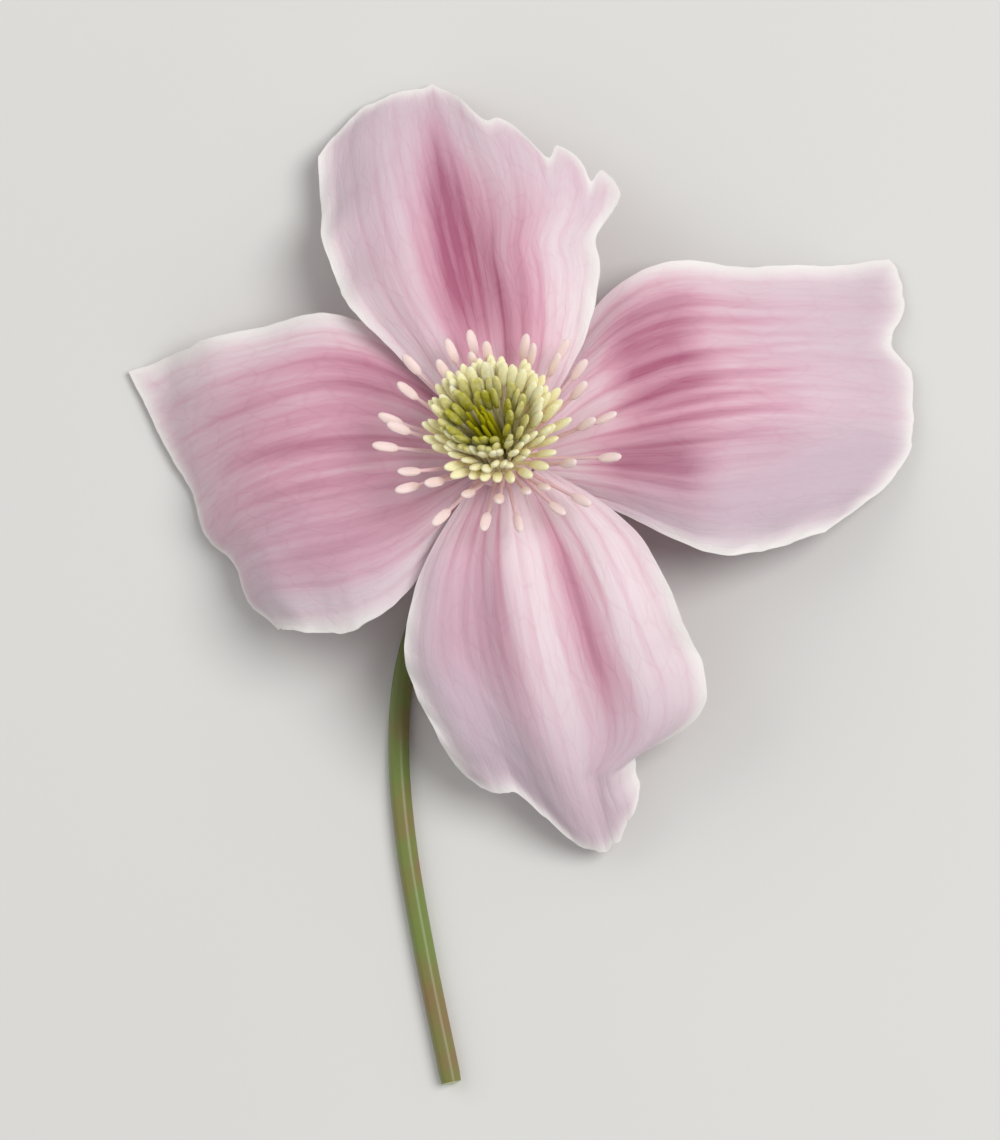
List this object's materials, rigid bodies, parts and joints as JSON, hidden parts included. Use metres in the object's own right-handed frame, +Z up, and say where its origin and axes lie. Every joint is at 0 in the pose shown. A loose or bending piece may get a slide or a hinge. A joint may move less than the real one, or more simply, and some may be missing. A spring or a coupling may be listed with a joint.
{
  "type": "clematis flower",
  "caption": "Pink clematis bloom as picked, face up with four drooping sepals, a stamen tuft and a bent stalk.",
  "frame": {"origin": "on the surface that the flower lies on, under the middle of the whole flower's box", "axes": "+Z up, out of the bloom's face; +Y from the stalk's cut end towards the bloom; +X to the right as the face is seen"},
  "size_m": [0.059, 0.0748, 0.0186],
  "materials": {
    "sepal": "soft matt pink petal, paler at the margins, veined lengthwise",
    "stamen_pale": "waxy pinkish white filaments with cream anthers",
    "stamen_yellow": "waxy yellow filaments and pollen-dusted anthers",
    "style": "soft olive green",
    "stalk": "smooth green stem, slightly bronzed"
  },
  "bodies": {
    "root": {"sepal_top": "sepal", "sepal_right": "sepal", "sepal_bottom": "sepal", "sepal_left": "sepal", "stamens_outer": "stamen_pale", "stamens_inner": "stamen_yellow", "styles": "style", "stalk": "stalk"}
  },
  "joints": []
}
